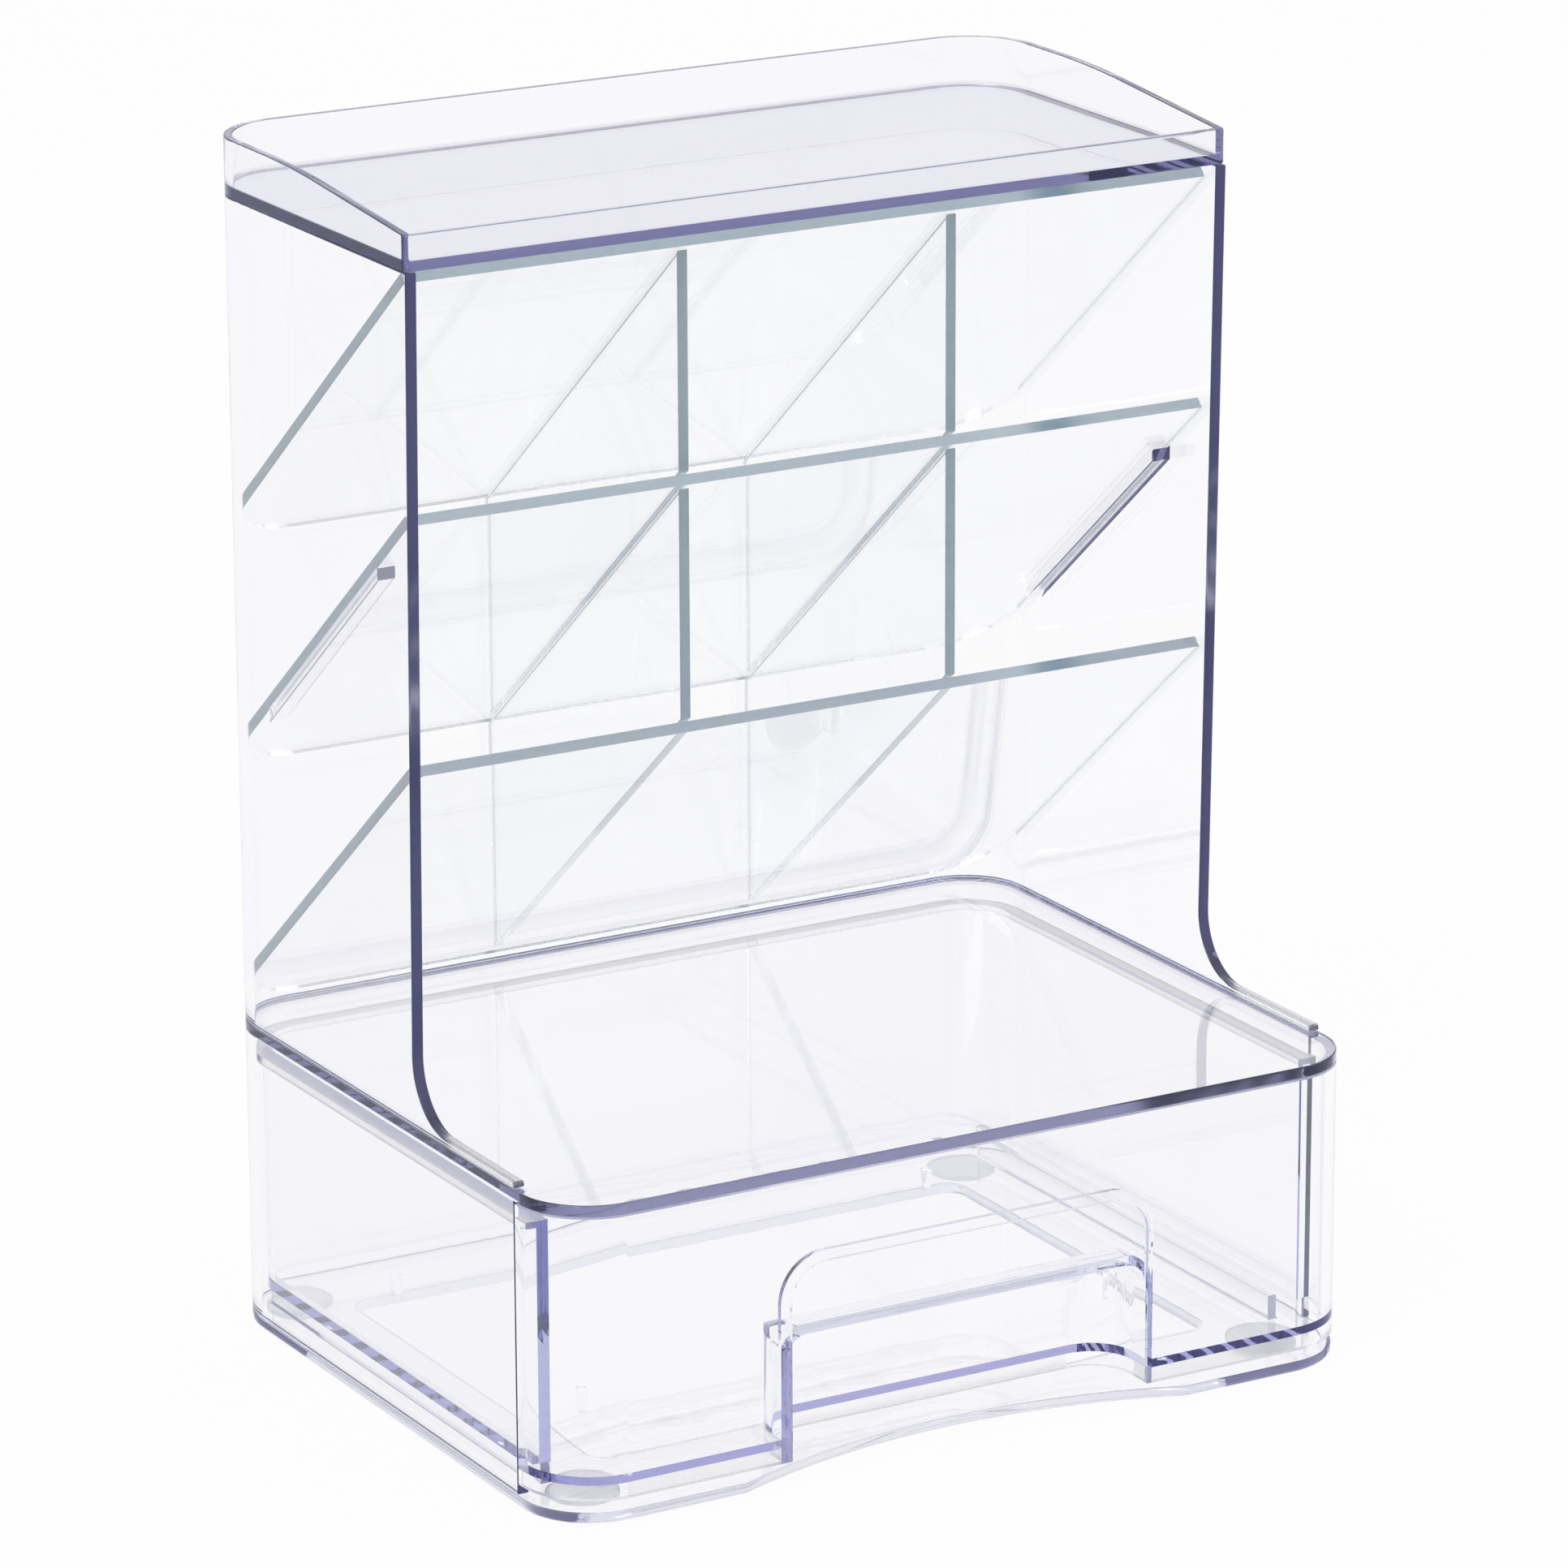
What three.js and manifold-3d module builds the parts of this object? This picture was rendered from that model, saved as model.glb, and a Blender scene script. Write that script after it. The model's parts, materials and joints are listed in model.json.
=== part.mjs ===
// Clear plastic desk organizer: an open drawer base, a deck, and a tower with a slanted pen rack and a tray.
// Millimetres. X runs to the right seen from the front, Y to the back, Z up. The drawer front faces -Y.
import * as THREE from 'three';
import { mergeVertices } from 'three/addons/utils/BufferGeometryUtils.js';
import Module from 'manifold-3d';

// Outside sizes
const overall_width = 226;
const base_depth = 177;
const deck_height = 81.4;
const tower_depth = 105.5;
const tower_height = 209.8;
const corner_radius = 19;

// Wall and sheet thicknesses
const shell_wall = 3;
const casing_wall = 3;
const deck_sheet = 3;
const frame_sheet = 3;
const tray_wall = 2.2;
const front_wall = 2.6;
const bin_wall = 2.2;
const rack_sheet = 2.8;

// Clearances: pieces that rest or are bonded, pieces that slide, pieces that nest
const seat_gap = 0.2;
const slide_gap = 0.4;
const nest_gap = 0.3;
const drawer_back_gap = 1;

// Tower shell: low foot strips along the deck, swept up into posts that lean forward, and two rack ledges
const foot_strip_height = 1.6;
const post_sweep_radius = 16;
const foot_strip_end_radius = 1;
const post_lean = 3.6;
const ledge_reach = 5;
const ledge_sheet = 2.4;
const ledge_start_share = 0.15;
const ledge_end_share = 0.74;

// Slanted rack: three sheets and four dividers
const rack_slope = THREE.MathUtils.degToRad(40);
const rack_side_gap = 0.5;
const rack_front_inset = 0.9;
const top_shelf_drop = 2.1;
const upper_row_height = 58.3;
const lower_row_height = 61.4;
const sheet_front_radius = 0.8;
const sheet_back_radius = 18;
const column_share = 1 / 3;
const divider_back_inset = 0.6;

// Tray on top
const rim_back_height = 14.3;
const lip_height = 8.7;
const rim_bend_from_back = 49;
const rim_bend_softness = 17;
const tray_front_radius = 2;

// Base frame, its rails and its pads
const frame_setback = 0.4;
const frame_edge_round = 1.4;
const scoop_half_width = 62;
const scoop_depth = 12;
const opening_side_margin = 26;
const opening_front_margin = 30;
const opening_back_margin = 24;
const opening_radius = 5;
const rail_height = 6.2;
const rail_sheet = 2.4;
const rail_inset = 4.4;
const rail_end_margin = 5;
const pad_radius = 9;
const pad_thickness = 1.2;
const pad_edge_round = 0.4;
const pad_side_inset = 17;
const pad_front_inset = 20;
const pad_back_inset = 12.5;

// Drawer
const return_tail = 1.6;
const front_skirt = 3.3;
const bin_rim_drop = 4.2;
const flange_width = 2.2;
const flange_sheet = 2.2;
const peg_radius = 1.7;
const peg_tip_radius = 1.2;
const peg_height = 6;
const peg_side_inset = 37;
const peg_front_inset = 58;
const peg_back_inset = 28;

// Finger pull: a shallow arch on the drawer front over a deep pocket that is open below
const pull_width = 100;
const arch_height = 49.2;
const arch_radius = 10;
const arch_depth = 1.8;
const pocket_height = 31;
const pocket_depth = 18.6;
const pocket_top_radius = 5;
const pocket_ceiling_radius = 11.5;
const pocket_corner_radius = 11;

// How finely arcs are divided, and how far a cutting body runs past what it cuts
const arc_steps = 7;
const edge_round_steps = 3;
const pad_round_steps = 2;
const pad_steps = 36;
const peg_steps = 16;
const cut_over = 1;

const quarter_turn = Math.PI / 2;
const half_turn = Math.PI;
const half_width = overall_width / 2;
const tower_front = base_depth - tower_depth;
const tray_front = tower_front - post_lean;

// Heights, built up from the pads
const frame_low = pad_thickness + seat_gap;
const frame_high = frame_low + frame_sheet;
const rail_high = frame_high + rail_height;
const floor_low = rail_high + seat_gap;
const floor_high = floor_low + bin_wall;
const front_low = floor_low - front_skirt;
const front_high = deck_height - deck_sheet - slide_gap;
const bin_high = front_high - bin_rim_drop;
const shell_low = deck_height + seat_gap;
const shell_high = shell_low + tower_height;
const tray_low = shell_high + seat_gap;
const tray_back_high = tray_low + rim_back_height;
const lip_high = tray_low + lip_height;
const tray_floor_high = tray_low + tray_wall;

// Drawer depths and half widths
const front_return = corner_radius + return_tail;
const casing_front = front_return + slide_gap;
const bin_half = half_width - casing_wall - slide_gap - flange_width;
const bin_back = base_depth - casing_wall - drawer_back_gap - flange_width;
const bin_radius = corner_radius - casing_wall - slide_gap - flange_width;

// Rack placing
const rack_half = half_width - shell_wall - rack_side_gap;
const rack_front = tower_front + rack_front_inset;
const rack_back = base_depth - shell_wall - nest_gap - (rack_sheet / 2) * Math.sin(rack_slope);
const sheet_length = (rack_back - rack_front) / Math.cos(rack_slope);
const sheet_rise = rack_sheet / 2 / Math.cos(rack_slope);
const top_shelf_front = shell_high - top_shelf_drop;
const middle_shelf_front = top_shelf_front - upper_row_height;
const bottom_shelf_front = middle_shelf_front - lower_row_height;

// Divider placing: three pockets of one width in each row
const column_width = (overall_width - 2 * shell_wall - 2 * rack_sheet) * column_share;
const divider_offset = (column_width + rack_sheet) / 2;

const wasm = await Module();
wasm.setup();

// A closed triangle mesh as a body that can be joined and cut
function body(geometry) {
  const bare = geometry.clone();
  bare.deleteAttribute('normal');
  bare.deleteAttribute('uv');
  const merged = mergeVertices(bare);
  const vertProperties = new Float32Array(merged.attributes.position.array);
  const triVerts = new Uint32Array(merged.index.array);
  const mesh = new wasm.Mesh({ numProp: 3, vertProperties, triVerts });
  return new wasm.Manifold(mesh);
}

function joined(bodies) {
  return bodies.reduce((all, next) => all.add(next));
}

// An outline that mirrors left to right, with one radius for the low corners and one for the high corners
function outline(half, low, high, low_radius, high_radius) {
  const shape = new THREE.Shape();
  shape.moveTo(-half + low_radius, low);
  if (low_radius > 0) {
    shape.absarc(half - low_radius, low + low_radius, low_radius, -quarter_turn, 0, false);
  } else {
    shape.lineTo(half, low);
  }
  if (high_radius > 0) {
    shape.absarc(half - high_radius, high - high_radius, high_radius, 0, quarter_turn, false);
    shape.absarc(-half + high_radius, high - high_radius, high_radius, quarter_turn, half_turn, false);
  } else {
    shape.lineTo(half, high);
    shape.lineTo(-half, high);
  }
  if (low_radius > 0) {
    shape.absarc(
      -half + low_radius, low + low_radius, low_radius, half_turn, half_turn + quarter_turn, false);
  } else {
    shape.lineTo(-half, low);
  }
  return shape;
}

// A closed side outline through (y, z) corners
function sideOutline(corners) {
  const shape = new THREE.Shape();
  shape.moveTo(corners[0][0], corners[0][1]);
  for (const [y, z] of corners.slice(1)) {
    shape.lineTo(y, z);
  }
  return shape;
}

function extruded(shape, length) {
  return new THREE.ExtrudeGeometry(shape, { depth: length, bevelEnabled: false, curveSegments: arc_steps });
}

const along_x = new THREE.Vector3(1, 0, 0);
const along_y = new THREE.Vector3(0, 1, 0);
const along_z = new THREE.Vector3(0, 0, 1);
const against_y = new THREE.Vector3(0, -1, 0);

// A plan outline (x, y) standing from one height to another
function standing(shape, low, high) {
  const geometry = extruded(shape, high - low);
  geometry.translate(0, 0, low);
  return body(geometry);
}

// A side outline (y, z) run across from one x to another
function across(shape, left, right) {
  const geometry = extruded(shape, right - left);
  geometry.applyMatrix4(new THREE.Matrix4().makeBasis(along_y, along_z, along_x));
  geometry.translate(left, 0, 0);
  return body(geometry);
}

// A front outline (x, z) run back from one y to another
function backward(shape, front, back) {
  const geometry = extruded(shape, back - front);
  geometry.applyMatrix4(new THREE.Matrix4().makeBasis(along_x, along_z, against_y));
  geometry.translate(0, back, 0);
  return body(geometry);
}

// Heights of the rack sheets, as lines that fall towards the back
function sheetMiddle(front_height, y) {
  return front_height - (y - rack_front) * Math.tan(rack_slope);
}

function sheetTop(front_height, y) {
  return sheetMiddle(front_height, y) + sheet_rise;
}

function sheetUnderside(front_height, y) {
  return sheetMiddle(front_height, y) - sheet_rise;
}

// Side view of the tower: back edge, top, leaning front post, the sweep at its foot and the low strip
function towerSideOutline() {
  const strip_high = shell_low + foot_strip_height;
  const shape = new THREE.Shape();
  shape.moveTo(base_depth, shell_low);
  shape.lineTo(base_depth, shell_high);
  shape.lineTo(tray_front, shell_high);
  shape.absarc(
    tower_front - post_sweep_radius, strip_high + post_sweep_radius,
    post_sweep_radius, 0, -quarter_turn, true);
  shape.absarc(
    casing_front + foot_strip_end_radius, strip_high - foot_strip_end_radius,
    foot_strip_end_radius, quarter_turn, half_turn, false);
  shape.lineTo(casing_front, shell_low);
  return shape;
}

// One of the two slanted ledges inside the tower that carry the rack
function rackLedge(inner, outer) {
  const span = rack_back - rack_front;
  const start = rack_front + span * ledge_start_share;
  const end = rack_front + span * ledge_end_share;
  const drop = seat_gap / Math.cos(rack_slope);
  const depth = ledge_sheet / Math.cos(rack_slope);
  const ledgeTop = (y) => sheetUnderside(middle_shelf_front, y) - drop;
  return across(sideOutline([
    [start, ledgeTop(start)],
    [start, ledgeTop(start) - depth],
    [end, ledgeTop(end) - depth],
    [end, ledgeTop(end)],
  ]), inner, outer);
}

function towerShell() {
  const outer = standing(
    outline(half_width, casing_front, base_depth, 0, corner_radius), shell_low, shell_high);
  const inner = standing(
    outline(
      half_width - shell_wall, casing_front - cut_over, base_depth - shell_wall,
      0, corner_radius - shell_wall),
    shell_low - cut_over, shell_high + cut_over);
  const walls = outer.subtract(inner).intersect(across(towerSideOutline(), -half_width, half_width));
  const wall_middle = half_width - shell_wall / 2;
  const ledge_end = half_width - shell_wall - ledge_reach;
  return joined([
    walls,
    rackLedge(-wall_middle, -ledge_end),
    rackLedge(ledge_end, wall_middle),
  ]);
}

// A rack sheet lying flat, with nearly square front corners and wide round back corners
function rackSheet() {
  return standing(
    outline(rack_half, 0, sheet_length, sheet_front_radius, sheet_back_radius),
    -rack_sheet / 2, rack_sheet / 2);
}

// An upright divider, cut as a leaning four-sided panel between two rack sheets
function rackDivider(upper_front, lower_front) {
  const drop = seat_gap / Math.cos(rack_slope);
  const back = rack_back - divider_back_inset;
  return across(sideOutline([
    [rack_front, sheetTop(lower_front, rack_front) + drop],
    [back, sheetTop(lower_front, back) + drop],
    [back, sheetUnderside(upper_front, back) - drop],
    [rack_front, sheetUnderside(upper_front, rack_front) - drop],
  ]), -rack_sheet / 2, rack_sheet / 2);
}

// Side view of the tray rim: level at the back, then falling to the low front lip
function rimSideOutline() {
  const bend = base_depth - rim_bend_from_back;
  const fall = (tray_back_high - lip_high) / (bend - tray_front);
  const shape = new THREE.Shape();
  shape.moveTo(tray_front, tray_low);
  shape.lineTo(base_depth, tray_low);
  shape.lineTo(base_depth, tray_back_high);
  shape.lineTo(bend + rim_bend_softness, tray_back_high);
  shape.quadraticCurveTo(
    bend, tray_back_high,
    bend - rim_bend_softness, tray_back_high - fall * rim_bend_softness);
  shape.lineTo(tray_front, lip_high);
  return shape;
}

// Tray: a flat floor with a rim all round
function topTray() {
  const outside = outline(half_width, tray_front, base_depth, tray_front_radius, corner_radius);
  const inside = outline(
    half_width - tray_wall, tray_front + tray_wall, base_depth - tray_wall,
    0, corner_radius - tray_wall);
  return standing(outside, tray_low, tray_back_high)
    .subtract(standing(inside, tray_floor_high, tray_back_high + cut_over))
    .intersect(across(rimSideOutline(), -half_width, half_width));
}

// Deck, two side walls and back wall of the base, open at the front and below
function baseCasing() {
  const deck = standing(
    outline(half_width, 0, base_depth, corner_radius, corner_radius), deck_height - deck_sheet, deck_height);
  const wall_low = frame_high + seat_gap;
  const block = outline(half_width, casing_front, base_depth, 0, corner_radius);
  const walls = standing(block, wall_low, deck_height)
    .subtract(standing(
      outline(
        half_width - casing_wall, casing_front - cut_over, base_depth - casing_wall,
        0, corner_radius - casing_wall),
      wall_low - cut_over, deck_height - deck_sheet));
  return deck.add(walls);
}

// Plan of the floor frame, with the wide shallow scoop in its front edge
function frameOutline() {
  const front = frame_setback;
  const radius = (scoop_half_width ** 2 + scoop_depth ** 2) / scoop_depth / 2;
  const centre_y = front + scoop_depth - radius;
  const reach = Math.asin(scoop_half_width / radius);
  const shape = new THREE.Shape();
  shape.moveTo(-half_width + corner_radius, front);
  shape.absarc(0, centre_y, radius, quarter_turn + reach, quarter_turn - reach, true);
  shape.absarc(half_width - corner_radius, front + corner_radius, corner_radius, -quarter_turn, 0, false);
  shape.absarc(half_width - corner_radius, base_depth - corner_radius, corner_radius, 0, quarter_turn, false);
  shape.absarc(
    -half_width + corner_radius, base_depth - corner_radius, corner_radius, quarter_turn, half_turn, false);
  shape.absarc(
    -half_width + corner_radius, front + corner_radius, corner_radius,
    half_turn, half_turn + quarter_turn, false);
  return shape;
}

// A plate whose lower outside edge is rounded
function roundedPlate(shape, low, high) {
  const geometry = new THREE.ExtrudeGeometry(shape, {
    depth: high - low,
    bevelThickness: frame_edge_round,
    bevelSize: frame_edge_round,
    bevelOffset: -frame_edge_round,
    bevelSegments: edge_round_steps,
    curveSegments: arc_steps,
  });
  geometry.translate(0, 0, low + frame_edge_round);
  return body(geometry).intersect(standing(outline(overall_width, 0, overall_width, 0, 0), low, high));
}

function baseFrame() {
  const opening = standing(
    outline(
      half_width - opening_side_margin, frame_setback + opening_front_margin,
      base_depth - opening_back_margin,
      opening_radius, opening_radius),
    frame_low - cut_over, frame_high + cut_over);
  const plate = roundedPlate(frameOutline(), frame_low, frame_high).subtract(opening);
  const rail_middle = bin_half - rail_inset;
  const rails = [-rail_middle, rail_middle].map((x) => across(sideOutline([
    [casing_front + rail_end_margin, frame_low + frame_sheet / 2],
    [bin_back - rail_end_margin, frame_low + frame_sheet / 2],
    [bin_back - rail_end_margin, rail_high],
    [casing_front + rail_end_margin, rail_high],
  ]), x - rail_sheet / 2, x + rail_sheet / 2));
  return joined([plate, ...rails]);
}

// A round soft pad, turned from its half section
function footPad() {
  const section = new THREE.Path();
  section.moveTo(0, 0);
  section.lineTo(pad_radius - pad_edge_round, 0);
  section.absarc(
    pad_radius - pad_edge_round, pad_edge_round, pad_edge_round, -quarter_turn, 0, false);
  section.lineTo(pad_radius, pad_thickness);
  section.lineTo(0, pad_thickness);
  const geometry = new THREE.LatheGeometry(section.getPoints(pad_round_steps), pad_steps);
  geometry.rotateX(quarter_turn);
  return body(geometry);
}

// The finger pocket as a plain block shaped by three outlines: from the side, from above and from the front
function pocketBlock(wall) {
  const half = pull_width / 2 + wall;
  const back = pocket_depth + wall;
  const high = front_low + pocket_height + wall;
  const low = wall > 0 ? front_low : front_low - cut_over;
  const side = new THREE.Shape();
  side.moveTo(-cut_over, low);
  side.lineTo(back, low);
  side.absarc(
    back - pocket_ceiling_radius - wall, high - pocket_ceiling_radius - wall, pocket_ceiling_radius + wall,
    0, quarter_turn, false);
  side.lineTo(-cut_over, high);
  const from_side = across(side, -half, half);
  const from_above = standing(
    outline(half, -cut_over, back, 0, pocket_corner_radius + wall), low, high);
  const from_front = backward(
    outline(half, low, high, 0, pocket_top_radius + wall), -cut_over, back);
  return from_side.intersect(from_above).intersect(from_front);
}

// The shallow arch above the pocket, grown by a wall
function archBlock(wall, front, back) {
  const low = wall > 0 ? front_low : front_low - cut_over;
  return backward(
    outline(pull_width / 2 + wall, low, front_low + arch_height + wall, 0, arch_radius + wall), front, back);
}

// Drawer front: a tall panel that turns round both corners and ends flush with the base walls
function drawerFront() {
  const outside = outline(half_width, 0, front_return, corner_radius, 0);
  const inside = outline(
    half_width - front_wall, front_wall, front_return + cut_over, corner_radius - front_wall, 0);
  return standing(outside, front_low, front_high)
    .subtract(standing(inside, front_low - cut_over, front_high + cut_over));
}

// Drawer bin behind the front: floor, side walls, back wall, outward rim and the shoulders to the front
function drawerBin() {
  const shoulder_front = front_return - bin_wall;
  const floor = standing(outline(half_width, 0, front_return, corner_radius, 0), floor_low, floor_high);
  const block = standing(outline(bin_half, shoulder_front, bin_back, 0, bin_radius), floor_low, bin_high);
  const shoulders = standing(outline(half_width, shoulder_front, front_return, 0, 0), floor_low, bin_high)
    .intersect(standing(outline(half_width, 0, front_return, corner_radius, 0), floor_low, bin_high));
  const rim = standing(
    outline(
      bin_half + flange_width, shoulder_front, bin_back + flange_width,
      0, bin_radius + flange_width),
    bin_high - flange_sheet, bin_high);
  const inside = standing(
    outline(bin_half - bin_wall, shoulder_front - cut_over, bin_back - bin_wall, 0, bin_radius - bin_wall),
    floor_high, bin_high + cut_over);
  return joined([floor, block, shoulders, rim]).subtract(inside);
}

// A short tapered peg under the drawer floor
function floorPeg(x, y) {
  const section = [
    new THREE.Vector2(0, -peg_height),
    new THREE.Vector2(peg_tip_radius, -peg_height),
    new THREE.Vector2(peg_radius, bin_wall / 2),
    new THREE.Vector2(0, bin_wall / 2),
  ];
  const geometry = new THREE.LatheGeometry(section, peg_steps);
  geometry.rotateX(quarter_turn);
  geometry.translate(x, y, floor_low);
  return body(geometry);
}

function drawer() {
  const behind_front = standing(
    outline(half_width - front_wall / 2, front_wall / 2, base_depth, corner_radius - front_wall / 2, 0),
    front_low, front_high);
  const backing = joined([
    pocketBlock(bin_wall),
    archBlock(bin_wall, -cut_over, arch_depth + bin_wall),
  ]).intersect(behind_front);
  const peg_x = half_width - peg_side_inset;
  const pegs = [
    floorPeg(-peg_x, peg_front_inset),
    floorPeg(peg_x, peg_front_inset),
    floorPeg(-peg_x, base_depth - peg_back_inset),
    floorPeg(peg_x, base_depth - peg_back_inset),
  ];
  return joined([drawerFront(), drawerBin(), backing, ...pegs])
    .subtract(pocketBlock(0))
    .subtract(archBlock(0, -cut_over, arch_depth));
}

// Colours as seen in the photo: clear plastic with a cold white look, cool grey rack edges, pale grey pads
const clear_plastic = { color: 0xe9ebf4, roughness: 0.08, metalness: 0 };
const tray_plastic = { color: 0xdfe1ee, roughness: 0.1, metalness: 0 };
const rack_plastic = { color: 0xd5dfe6, roughness: 0.1, metalness: 0 };
const pad_rubber = { color: 0xc9d0d9, roughness: 0.6, metalness: 0 };

const organizer = new THREE.Group();
organizer.name = 'drawer_organizer';

// Adds a finished body as a named mesh; y counts from the drawer front, and tilt turns it about its own X
function addPiece(name, piece, finish, { x = 0, y = 0, z = 0, tilt = 0 } = {}) {
  const { vertProperties, triVerts } = piece.getMesh();
  const geometry = new THREE.BufferGeometry();
  geometry.setAttribute('position', new THREE.BufferAttribute(new Float32Array(vertProperties), 3));
  geometry.setIndex(new THREE.BufferAttribute(new Uint32Array(triVerts), 1));
  geometry.computeVertexNormals();
  const mesh = new THREE.Mesh(geometry, new THREE.MeshStandardMaterial(finish));
  mesh.name = name;
  mesh.position.set(x, y - base_depth / 2, z);
  mesh.rotation.x = tilt;
  organizer.add(mesh);
}

addPiece('tower_shell', towerShell(), clear_plastic);
addPiece('top_tray', topTray(), tray_plastic);

const shelf_fronts = { top: top_shelf_front, middle: middle_shelf_front, bottom: bottom_shelf_front };
for (const [level, front_height] of Object.entries(shelf_fronts)) {
  const place = { y: rack_front, z: front_height, tilt: -rack_slope };
  addPiece(`slanted_shelf_${level}`, rackSheet(), rack_plastic, place);
}

for (const [side, x] of [['left', -divider_offset], ['right', divider_offset]]) {
  addPiece(`divider_upper_${side}`, rackDivider(top_shelf_front, middle_shelf_front), rack_plastic, { x });
  addPiece(`divider_lower_${side}`, rackDivider(middle_shelf_front, bottom_shelf_front), rack_plastic, { x });
}

addPiece('base_casing', baseCasing(), clear_plastic);
addPiece('base_frame', baseFrame(), clear_plastic);
addPiece('drawer', drawer(), clear_plastic);

for (const [side, x] of [['left', -half_width + pad_side_inset], ['right', half_width - pad_side_inset]]) {
  addPiece(`foot_front_${side}`, footPad(), pad_rubber, { x, y: frame_setback + pad_front_inset });
  addPiece(`foot_back_${side}`, footPad(), pad_rubber, { x, y: base_depth - pad_back_inset });
}

export default organizer;
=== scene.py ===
# %% [markdown]
# # A clear drawer organizer
#
# This organizer is moulded from clear plastic: a drawer base, a deck, and a tower with a slanted pen rack
# and a tray. The solids come from the CAD part, already in place. Here each one gets its rounded edges, its
# finish and its light.

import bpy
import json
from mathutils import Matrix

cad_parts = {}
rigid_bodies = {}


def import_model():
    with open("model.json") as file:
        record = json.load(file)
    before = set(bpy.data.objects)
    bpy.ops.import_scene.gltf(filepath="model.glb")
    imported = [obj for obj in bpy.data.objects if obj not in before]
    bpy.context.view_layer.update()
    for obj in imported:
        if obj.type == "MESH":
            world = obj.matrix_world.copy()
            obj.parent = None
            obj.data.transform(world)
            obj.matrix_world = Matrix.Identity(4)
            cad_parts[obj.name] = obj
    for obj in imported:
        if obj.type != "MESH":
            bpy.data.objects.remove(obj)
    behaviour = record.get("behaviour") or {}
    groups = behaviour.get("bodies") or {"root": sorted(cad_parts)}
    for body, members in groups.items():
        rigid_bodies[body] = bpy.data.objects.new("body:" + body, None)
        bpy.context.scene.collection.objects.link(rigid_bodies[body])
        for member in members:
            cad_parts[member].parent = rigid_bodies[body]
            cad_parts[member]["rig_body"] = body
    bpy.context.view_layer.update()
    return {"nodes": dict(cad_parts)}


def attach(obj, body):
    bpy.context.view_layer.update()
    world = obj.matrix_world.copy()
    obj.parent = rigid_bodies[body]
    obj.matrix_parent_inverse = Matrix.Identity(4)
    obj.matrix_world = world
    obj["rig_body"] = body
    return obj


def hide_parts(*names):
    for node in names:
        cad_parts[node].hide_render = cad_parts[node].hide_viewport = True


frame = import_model()

# %% [markdown]
# ## Tools and units
#
# Shapes are cleaned with bmesh, which edits a mesh without opening an edit mode. The scene is in metres, but
# a maker thinks of this object in millimetres, so lengths are written in millimetres and turned into metres.

# %% Tools for this lesson
import json
from math import cos, pi, radians, sin

import bmesh
import bpy
from mathutils import Matrix, Vector

MM = 0.001

# %% [markdown]
# ## Whole faces
#
# The CAD solids are made of triangles with sharp edges. A bevel needs whole faces, or it would round every
# seam. So a copy of each solid is cleaned first: triangles that lie flat against each other melt into one
# face. The copy keeps the solid's outside, so the object's sizes stay as they are.
# Each face is also marked as a cut edge or not. A cut edge is as narrow as a wall is thick, and the faces
# beside it turn away sharply. Edges are less polished than walls, and the finish needs to know which is
# which.


# %% Whole faces from triangles
weld_distance = 0.002 * MM
flat_enough = radians(0.5)
widest_edge = 4.5 * MM
sharp_turn = radians(45)
sharp_share = 0.8


def is_cut_edge(face):
    around = sum(edge.calc_length() for edge in face.edges)
    sharp = sum(edge.calc_length() for edge in face.edges if edge.calc_face_angle(0) > sharp_turn)
    width = 2 * face.calc_area() / around
    return width < widest_edge and sharp > sharp_share * around


def whole_faces(node):
    shape = bmesh.new()
    shape.from_mesh(frame["nodes"][node].data)
    bmesh.ops.remove_doubles(shape, verts=shape.verts, dist=weld_distance)
    bmesh.ops.dissolve_limit(shape, angle_limit=flat_enough, verts=shape.verts, edges=shape.edges)
    cut_edge = shape.faces.layers.float.new("cut edge")
    for face in shape.faces:
        face.smooth = True
        face[cut_edge] = float(is_cut_edge(face))
    mesh = bpy.data.meshes.new(node + "_clear")
    shape.to_mesh(mesh)
    shape.free()
    return mesh


# %% [markdown]
# ## Small roundings
#
# A mould leaves no knife edge, and light on clear plastic gathers along its small roundings, so a bevel adds
# them. Clear things are strict about normals. If the shading of a wide face leans towards its edge even a
# little, light bends wrongly there and the face turns grey. The second modifier gives each corner the
# direction of its widest face, so the walls stay optically flat and only the roundings turn.
# The bevel is clamped, so that roundings never run into each other. The clamp works on a whole piece at once,
# and a few very short edges can take nearly all the rounding from it. That happens on the drawer and on the
# three slanted sheets, whose edges stay almost sharp. In a test, welding edges under 0.2 mm away first gave a
# sheet its rounding back. The drawer gets its own back only with the clamp off, and whether its roundings
# then run into each other wasn't checked.


# %% Round the edges and keep the walls flat
rounding_steps = 2
least_corner = radians(32)
favour_wide_faces = 100


def round_edges(piece, rounding):
    soft = piece.modifiers.new("small roundings", "BEVEL")
    soft.width = rounding * MM
    soft.segments = rounding_steps
    soft.limit_method = "ANGLE"
    soft.angle_limit = least_corner
    soft.use_clamp_overlap = True
    flat = piece.modifiers.new("flat wide faces", "WEIGHTED_NORMAL")
    flat.mode = "FACE_AREA"
    flat.weight = favour_wide_faces
    flat.keep_sharp = True


# %% [markdown]
# ## Clear plastic
#
# Clear plastic looks white where you look through a thin wall, and dark and coloured at its edges. No paint
# makes this. Light that enters an edge travels a long way inside the sheet, and the plastic takes a little
# colour from it on the way. So the finish is built as the real thing is: a surface that bends light, and a
# depth that absorbs it. On top of that, the melt leaves faint clouds and a soft ripple on the surface, and
# narrow edges are duller than walls, which spreads the light inside them into one even tone.
# It is tempting to add dark outlines by darkening whatever is seen at a low angle. They look right from one
# side, but from another whole walls turn dark, so this finish never asks where the viewer stands.

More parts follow.
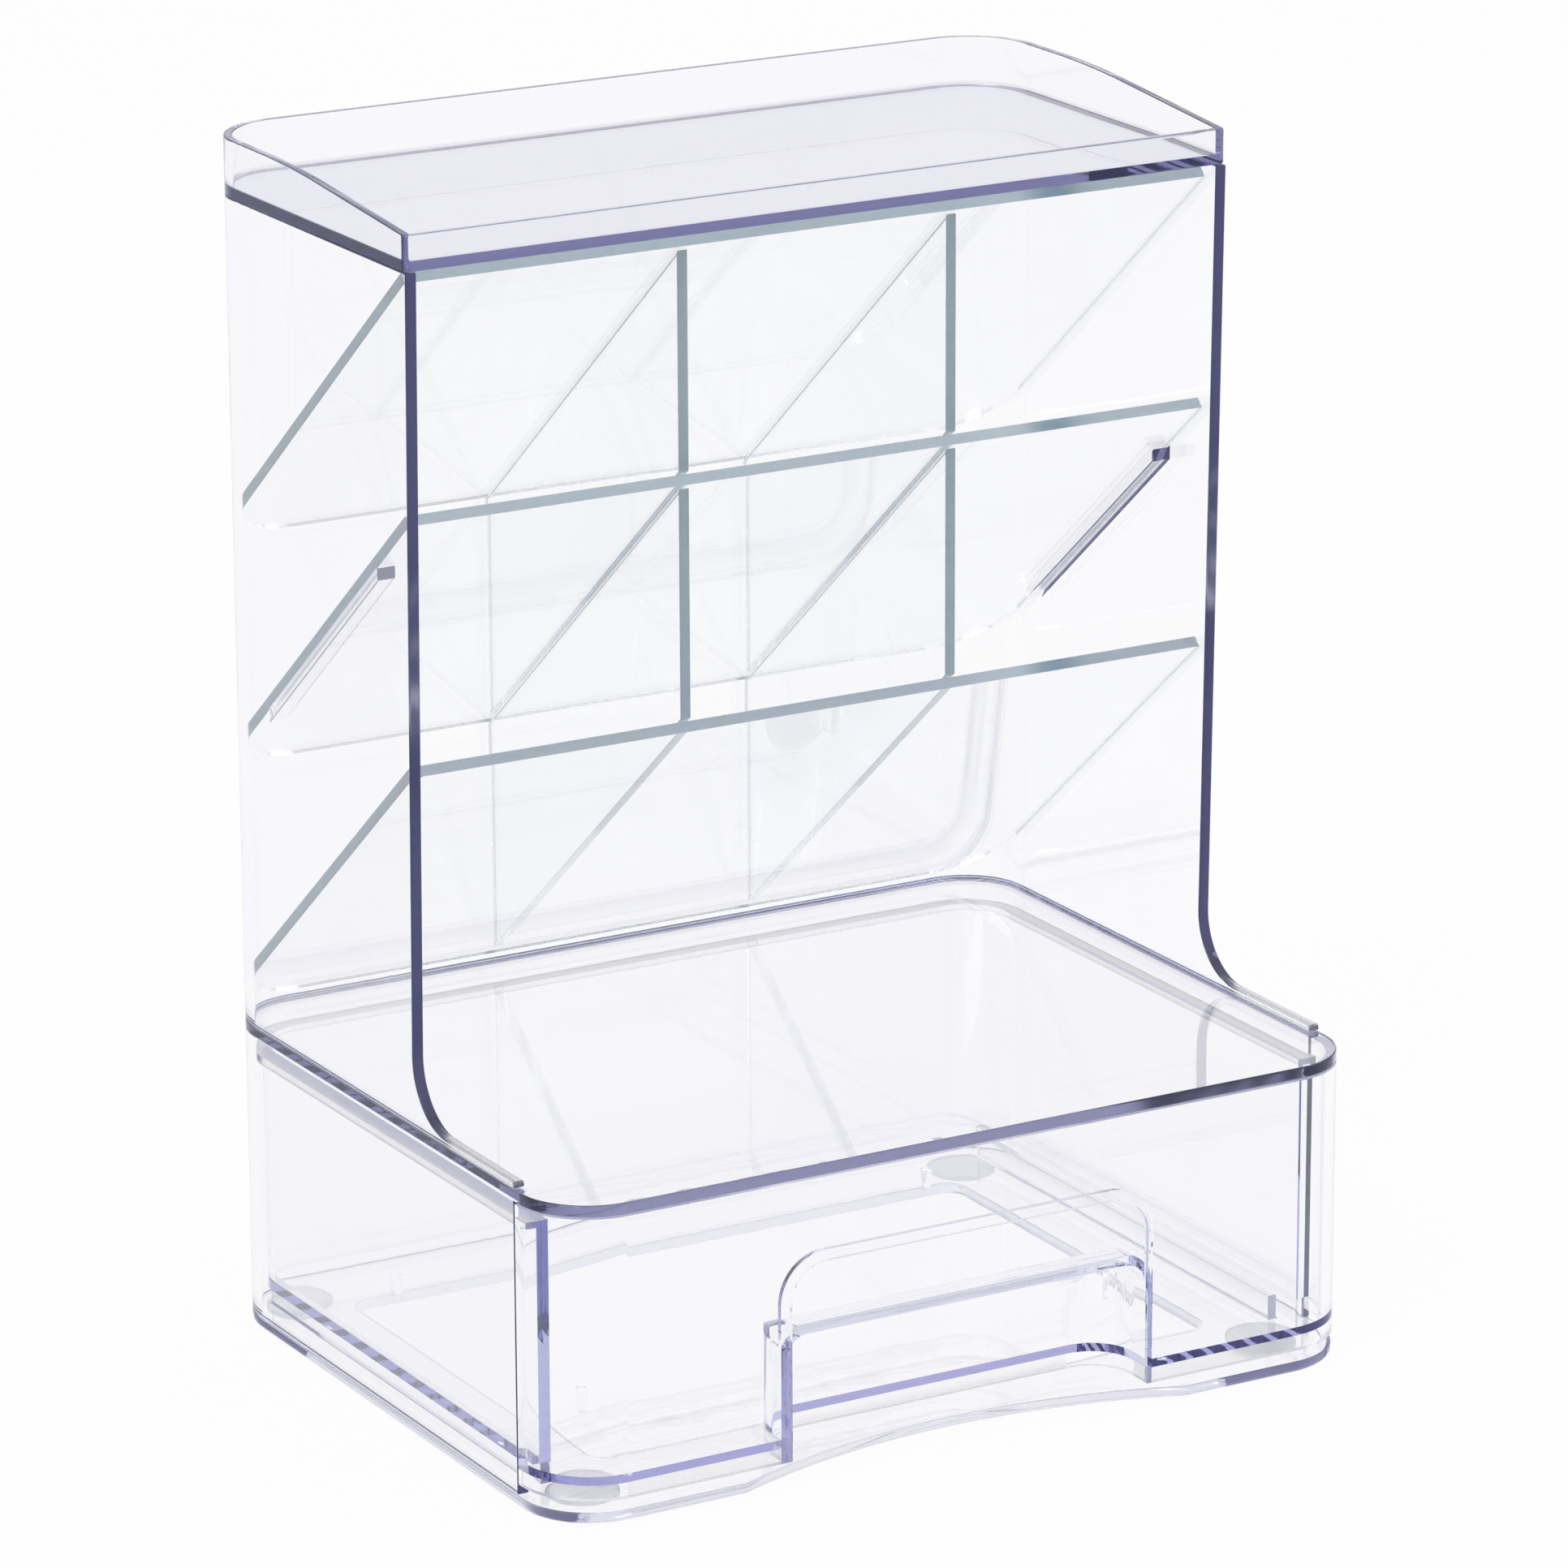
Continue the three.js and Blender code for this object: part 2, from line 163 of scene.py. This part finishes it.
# %% How clear plastic treats light
light_bend = 1.49
best_polish, least_polish = 0.0, 0.012
surface_pale, surface_cloudy = (1.0, 1.0, 1.0, 1), (0.992, 0.992, 0.997, 1)
clouds_start, clouds_end = 0.35, 0.65
noise_detail = 2.0
ripple_height = 1 * MM


def add_noise(nodes, links, scale):
    place = nodes.new("ShaderNodeTexCoord")
    noise = nodes.new("ShaderNodeTexNoise")
    noise.inputs["Scale"].default_value = scale
    noise.inputs["Detail"].default_value = noise_detail
    links.new(place.outputs["Object"], noise.inputs["Vector"])
    return noise.outputs["Fac"]


def add_clouds(nodes, links, surface, scale, deep, pale):
    clouds = nodes.new("ShaderNodeValToRGB")
    clouds.color_ramp.elements[0].position = clouds_start
    clouds.color_ramp.elements[0].color = deep
    clouds.color_ramp.elements[1].position = clouds_end
    clouds.color_ramp.elements[1].color = pale
    links.new(add_noise(nodes, links, scale), clouds.inputs["Fac"])
    links.new(clouds.outputs["Color"], surface.inputs["Base Color"])


def add_ripple(nodes, links, surface, scale, strength):
    ripple = nodes.new("ShaderNodeBump")
    ripple.inputs["Strength"].default_value = strength
    ripple.inputs["Distance"].default_value = ripple_height
    links.new(add_noise(nodes, links, scale), ripple.inputs["Height"])
    links.new(ripple.outputs["Normal"], surface.inputs["Normal"])


def add_polish(nodes, links, surface, scale, smoothest, roughest):
    polish = nodes.new("ShaderNodeMapRange")
    polish.inputs["To Min"].default_value = smoothest
    polish.inputs["To Max"].default_value = roughest
    links.new(add_noise(nodes, links, scale), polish.inputs["Value"])
    links.new(polish.outputs[0], surface.inputs["Roughness"])
    return polish


def dull_the_edges(nodes, links, surface, polish, edge_roughness):
    mark = nodes.new("ShaderNodeAttribute")
    mark.attribute_name = "cut edge"
    dull = nodes.new("ShaderNodeMath")
    dull.operation = "MULTIPLY_ADD"
    dull.inputs[1].default_value = edge_roughness
    links.new(mark.outputs["Fac"], dull.inputs[0])
    links.new(polish.outputs[0], dull.inputs[2])
    links.new(dull.outputs[0], surface.inputs["Roughness"])


# %% [markdown]
# ## One recipe for every clear part
#
# The clear parts are one kind of plastic. They differ in how strongly it is tinted and in how dull its edges
# are. Each could have a material of its own, but a change would then have to be made four times, so one
# function mixes them all. The tint is an absorption inside the plastic, and it shows where light travels far.

# %% Mix a clear plastic
cloud_scale = 18.0
ripple_scale = 54.0
ripple_strength = 0.02


def clear_plastic(name, depth_colour, depth, edge_roughness):
    """depth_colour is what is left of white light, and depth is how fast the rest is lost, per metre."""
    material = bpy.data.materials.new(name)
    material.use_nodes = True
    nodes, links = material.node_tree.nodes, material.node_tree.links
    surface = nodes["Principled BSDF"]
    surface.inputs["Transmission Weight"].default_value = 1.0
    surface.inputs["IOR"].default_value = light_bend
    add_clouds(nodes, links, surface, cloud_scale, surface_cloudy, surface_pale)
    add_ripple(nodes, links, surface, ripple_scale, ripple_strength)
    polish = add_polish(nodes, links, surface, cloud_scale, best_polish, least_polish)
    dull_the_edges(nodes, links, surface, polish, edge_roughness)
    inside = nodes.new("ShaderNodeVolumeAbsorption")
    inside.inputs["Color"].default_value = (*depth_colour, 1)
    inside.inputs["Density"].default_value = depth
    links.new(inside.outputs[0], nodes["Material Output"].inputs["Volume"])
    print(f"{name}: keeps {depth_colour} of the light, loses it at {depth} per metre")
    return material


# %% [markdown]
# ## Painted shade on the tray floor
#
# The tray's floor is lavender grey, while the deck below it stays white under the same light. The grey is
# the reflection of a dimmer room above the floor, painted here as shade: a grey laid over the floor's
# clouds, which fades out just above the floor.


# %% Paint shade on everything below a height
shade_fade = 0.8 * MM
unshaded = (1, 1, 1, 1)


# Painted shade: the base colour is multiplied by a grey below the given height, and the grey fades out above
# it.
def paint_shade_below(material, height, tint):
    nodes, links = material.node_tree.nodes, material.node_tree.links
    surface = nodes["Principled BSDF"]
    clouds = surface.inputs["Base Color"].links[0].from_socket
    place = nodes.new("ShaderNodeTexCoord")
    level = nodes.new("ShaderNodeSeparateXYZ")
    links.new(place.outputs["Object"], level.inputs[0])
    above = nodes.new("ShaderNodeMapRange")
    above.inputs["From Min"].default_value = height
    above.inputs["From Max"].default_value = height + shade_fade
    links.new(level.outputs["Z"], above.inputs["Value"])
    shade_by_height = nodes.new("ShaderNodeMix")
    shade_by_height.data_type = "RGBA"
    shade_by_height.inputs["A"].default_value = tint
    shade_by_height.inputs["B"].default_value = unshaded
    links.new(above.outputs[0], shade_by_height.inputs["Factor"])
    shade_multiply = nodes.new("ShaderNodeMix")
    shade_multiply.data_type = "RGBA"
    shade_multiply.blend_type = "MULTIPLY"
    shade_multiply.inputs["Factor"].default_value = 1.0
    links.new(clouds, shade_multiply.inputs["A"])
    links.new(shade_by_height.outputs["Result"], shade_multiply.inputs["B"])
    links.new(shade_multiply.outputs["Result"], surface.inputs["Base Color"])


# %% [markdown]
# ## The five finishes
#
# Four of them are clear. The housing turns indigo at its edges, the drawer violet, and the cut sheets of the
# rack slate blue. The tray is a little greyer, and painted shade darkens its floor. The fifth is the soft
# grey of the pads.

# %% The clear finishes
indigo, violet = (0.30, 0.30, 0.58), (0.36, 0.36, 0.74)
slate_blue, lavender_grey = (0.30, 0.46, 0.55), (0.30, 0.30, 0.60)
tray_floor_top = 293.8 * MM
# Painted shade: the grey the tray floor takes below its top, standing in for a dimmer room reflected in it.
tray_floor_painted_shade = (0.85, 0.845, 0.905, 1)
housing_plastic = clear_plastic("clear housing", indigo, depth=10.0, edge_roughness=0.20)
drawer_plastic = clear_plastic("clear drawer", violet, depth=8.0, edge_roughness=0.30)
rack_plastic = clear_plastic("clear rack sheet", slate_blue, depth=8.0, edge_roughness=0.24)
tray_plastic = clear_plastic("clear tray", lavender_grey, depth=20.0, edge_roughness=0.12)
# Paints that shade on the tray's floor.
paint_shade_below(tray_plastic, tray_floor_top, tray_floor_painted_shade)


# %% [markdown]
# ## The finish of the pads
#
# The pads are soft and pale grey, and some light passes through them. A plain matt grey would stop all of it.
# So most of the light goes in here, a rough surface scatters it, and a very fine bump gives the skin its
# grain.

# %% The soft pads
see_through = 0.8
rubber_bend = 1.41
grain_scale = 160.0
fine_grain_scale, fine_grain_strength = 900.0, 0.25
pad_smoothest, pad_roughest = 0.45, 0.62
pad_pale, pad_deep = (0.76, 0.79, 0.84, 1), (0.70, 0.73, 0.79, 1)


def soft_pad(name):
    material = bpy.data.materials.new(name)
    material.use_nodes = True
    nodes, links = material.node_tree.nodes, material.node_tree.links
    surface = nodes["Principled BSDF"]
    surface.inputs["Transmission Weight"].default_value = see_through
    surface.inputs["IOR"].default_value = rubber_bend
    add_clouds(nodes, links, surface, grain_scale, pad_deep, pad_pale)
    add_ripple(nodes, links, surface, fine_grain_scale, fine_grain_strength)
    add_polish(nodes, links, surface, grain_scale, pad_smoothest, pad_roughest)
    return material


pad_rubber = soft_pad("soft grey pad")


# %% [markdown]
# ## One way to dress every piece
#
# The cleaned copy takes its finish and its roundings, rides on the body of its solid and stands in for it.
# Moulded edges are meant to be rounder than sawn ones, and the thin pads are rounded least. The widths are in
# millimetres, and the clamp may make them smaller.


# %% Dress a piece
moulded_rounding = 0.4
sawn_rounding = 0.25
pad_rounding = 0.2


def dress(node, finish, rounding=moulded_rounding):
    mesh = whole_faces(node)
    mesh.materials.append(finish)
    piece = bpy.data.objects.new(node + "_clear", mesh)
    bpy.context.scene.collection.objects.link(piece)
    round_edges(piece, rounding)
    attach(piece, frame["nodes"][node]["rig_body"])
    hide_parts(node)
    print(f"{node}: {len(mesh.polygons)} whole faces, rounded by at most {rounding} mm")


# %% [markdown]
# ## The housing
#
# The base casing, the floor frame and the tower shell are three mouldings of one plastic.

# %% Dress the housing
for node in ("base_casing", "base_frame", "tower_shell"):
    dress(node, housing_plastic)

# %% [markdown]
# ## The rack
#
# Three slanted sheets and four dividers are cut from sheet and cemented. Sawn edges are crisper than moulded
# ones, so their rounding is set smaller.

# %% Dress the rack
for node in sorted(frame["nodes"]):
    if node.startswith(("slanted_shelf", "divider")):
        dress(node, rack_plastic, sawn_rounding)

# %% [markdown]
# ## The tray and the drawer
#
# The tray has a flat floor and a rim that falls to a low lip at the front. The drawer is one moulding with
# its front and finger pull, and it slides.

# %% Dress the tray and the drawer
dress("top_tray", tray_plastic)
dress("drawer", drawer_plastic)

# %% [markdown]
# ## The pads
#
# Four soft round pads keep the floor frame off the table. They show through the plastic as grey ovals.

# %% Dress the pads
for node in sorted(frame["nodes"]):
    if node.startswith("foot"):
        dress(node, pad_rubber, pad_rounding)

# %% [markdown]
# ## What the eye sees of the room
#
# The photo has a white background. More light would wash the object out, so the floor and the room are simply
# white to the rays that look at them: straight from the camera, by reflection, or through the plastic.


# %% Rays that look at something
full_white = 1.0


def looking_rays(nodes, links):
    rays = nodes.new("ShaderNodeLightPath")
    looking = rays.outputs["Is Camera Ray"]
    for kind in ("Is Glossy Ray", "Is Transmission Ray"):
        either = nodes.new("ShaderNodeMath")
        either.operation = "MAXIMUM"
        links.new(looking, either.inputs[0])
        links.new(rays.outputs[kind], either.inputs[1])
        looking = either.outputs[0]
    return looking


# %% [markdown]
# ## Floor
#
# The table is a wide pale sheet. A small share of it stays plain matt, and that share carries the shadow.

# %% Lay the floor
white_share = 0.96
table_colour = (0.86, 0.86, 0.87, 1)
table_radius = 30.0
table_corners = 64


def floor_finish():
    material = bpy.data.materials.new("pale table")
    material.use_nodes = True
    nodes, links = material.node_tree.nodes, material.node_tree.links
    nodes.clear()
    matt = nodes.new("ShaderNodeBsdfDiffuse")
    matt.inputs["Color"].default_value = table_colour
    white = nodes.new("ShaderNodeEmission")
    white.inputs["Strength"].default_value = full_white
    share = nodes.new("ShaderNodeMath")
    share.operation = "MULTIPLY"
    share.inputs[1].default_value = white_share
    links.new(looking_rays(nodes, links), share.inputs[0])
    mix = nodes.new("ShaderNodeMixShader")
    links.new(share.outputs[0], mix.inputs["Fac"])
    links.new(matt.outputs[0], mix.inputs[1])
    links.new(white.outputs[0], mix.inputs[2])
    out = nodes.new("ShaderNodeOutputMaterial")
    links.new(mix.outputs[0], out.inputs["Surface"])
    return material


def table():
    sheet = bmesh.new()
    turns = [2 * pi * corner / table_corners for corner in range(table_corners)]
    rim = [sheet.verts.new((table_radius * cos(turn), table_radius * sin(turn), 0)) for turn in turns]
    sheet.faces.new(rim)
    mesh = bpy.data.meshes.new("table")
    sheet.to_mesh(mesh)
    sheet.free()
    mesh.materials.append(floor_finish())
    floor = bpy.data.objects.new("table", mesh)
    bpy.context.scene.collection.objects.link(floor)
    return floor


print("table:", tuple(round(side, 1) for side in table().dimensions), "m")

# %% [markdown]
# ## Light
#
# A studio for clear things is a white room: light comes from everywhere, and two large soft lamps give it
# a side.

# %% World and lamps
room_light = 0.62
room_colour = (1, 1, 1, 1)
lamp_aim = (0, 0, 0.12)


def white_room():
    world = bpy.data.worlds.new("white room")
    bpy.context.scene.world = world
    world.use_nodes = True
    nodes, links = world.node_tree.nodes, world.node_tree.links
    level = nodes.new("ShaderNodeMapRange")
    level.inputs["To Min"].default_value = room_light
    level.inputs["To Max"].default_value = full_white
    links.new(looking_rays(nodes, links), level.inputs["Value"])
    links.new(level.outputs[0], nodes["Background"].inputs["Strength"])
    nodes["Background"].inputs["Color"].default_value = room_colour


def soft_lamp(name, place, size, power):
    lamp = bpy.data.lights.new(name, "AREA")
    lamp.shape = "RECTANGLE"
    lamp.size = lamp.size_y = size
    lamp.energy = power
    stand = bpy.data.objects.new(name, lamp)
    bpy.context.scene.collection.objects.link(stand)
    stand.location = place
    stand.rotation_euler = (Vector(lamp_aim) - Vector(place)).to_track_quat("-Z", "Y").to_euler()


white_room()
soft_lamp("left soft box", place=(-1.6, -0.9, 1.7), size=1.2, power=22)
soft_lamp("right soft box", place=(1.7, -0.5, 1.4), size=1.0, power=9)

# %% [markdown]
# ## Camera
#
# The photo was taken from the front left and a little above, with a long lens, so upright lines stay nearly
# upright.

# %% Set the camera
photo_side = 1932
focal_pixels = 9657.34
sensor_width = 36
farthest_seen = 100
camera_distance = 1912.79 * MM
camera_aim = Vector((-5.6, -8.5, 148.29)) * MM
camera_turn, camera_rise, camera_roll = radians(-29.949), radians(17.036), radians(-0.228)


def photo_camera():
    across = cos(camera_rise)
    back = Vector((sin(camera_turn) * across, -cos(camera_turn) * across, sin(camera_rise)))
    level = Vector((cos(camera_turn), sin(camera_turn), 0))
    upright = back.cross(level)
    right = level * cos(camera_roll) + upright * sin(camera_roll)
    up = upright * cos(camera_roll) - level * sin(camera_roll)
    lens = bpy.data.cameras.new("photo camera")
    lens.sensor_width = sensor_width
    lens.sensor_fit = "HORIZONTAL"
    lens.lens = sensor_width * focal_pixels / photo_side
    lens.clip_end = farthest_seen
    camera = bpy.data.objects.new("photo camera", lens)
    bpy.context.scene.collection.objects.link(camera)
    turned = Matrix((right, up, back)).transposed().to_4x4()
    camera.matrix_world = Matrix.Translation(camera_aim + back * camera_distance) @ turned
    bpy.context.scene.camera = camera
    return lens


print("lens:", round(photo_camera().lens, 2), "mm")

# %% [markdown]
# ## Depth of the light
#
# A ray that enters an edge is thrown from wall to wall many times before it leaves. If it is given up too
# soon, the edge turns black instead of indigo, so the limits on these bounces are raised.

# %% View and bounces
longest_path = 96
scene = bpy.context.scene
scene.view_settings.view_transform = "Standard"
scene.cycles.max_bounces = longest_path
scene.cycles.transmission_bounces = longest_path
scene.cycles.glossy_bounces = longest_path
print("bounces:", longest_path)
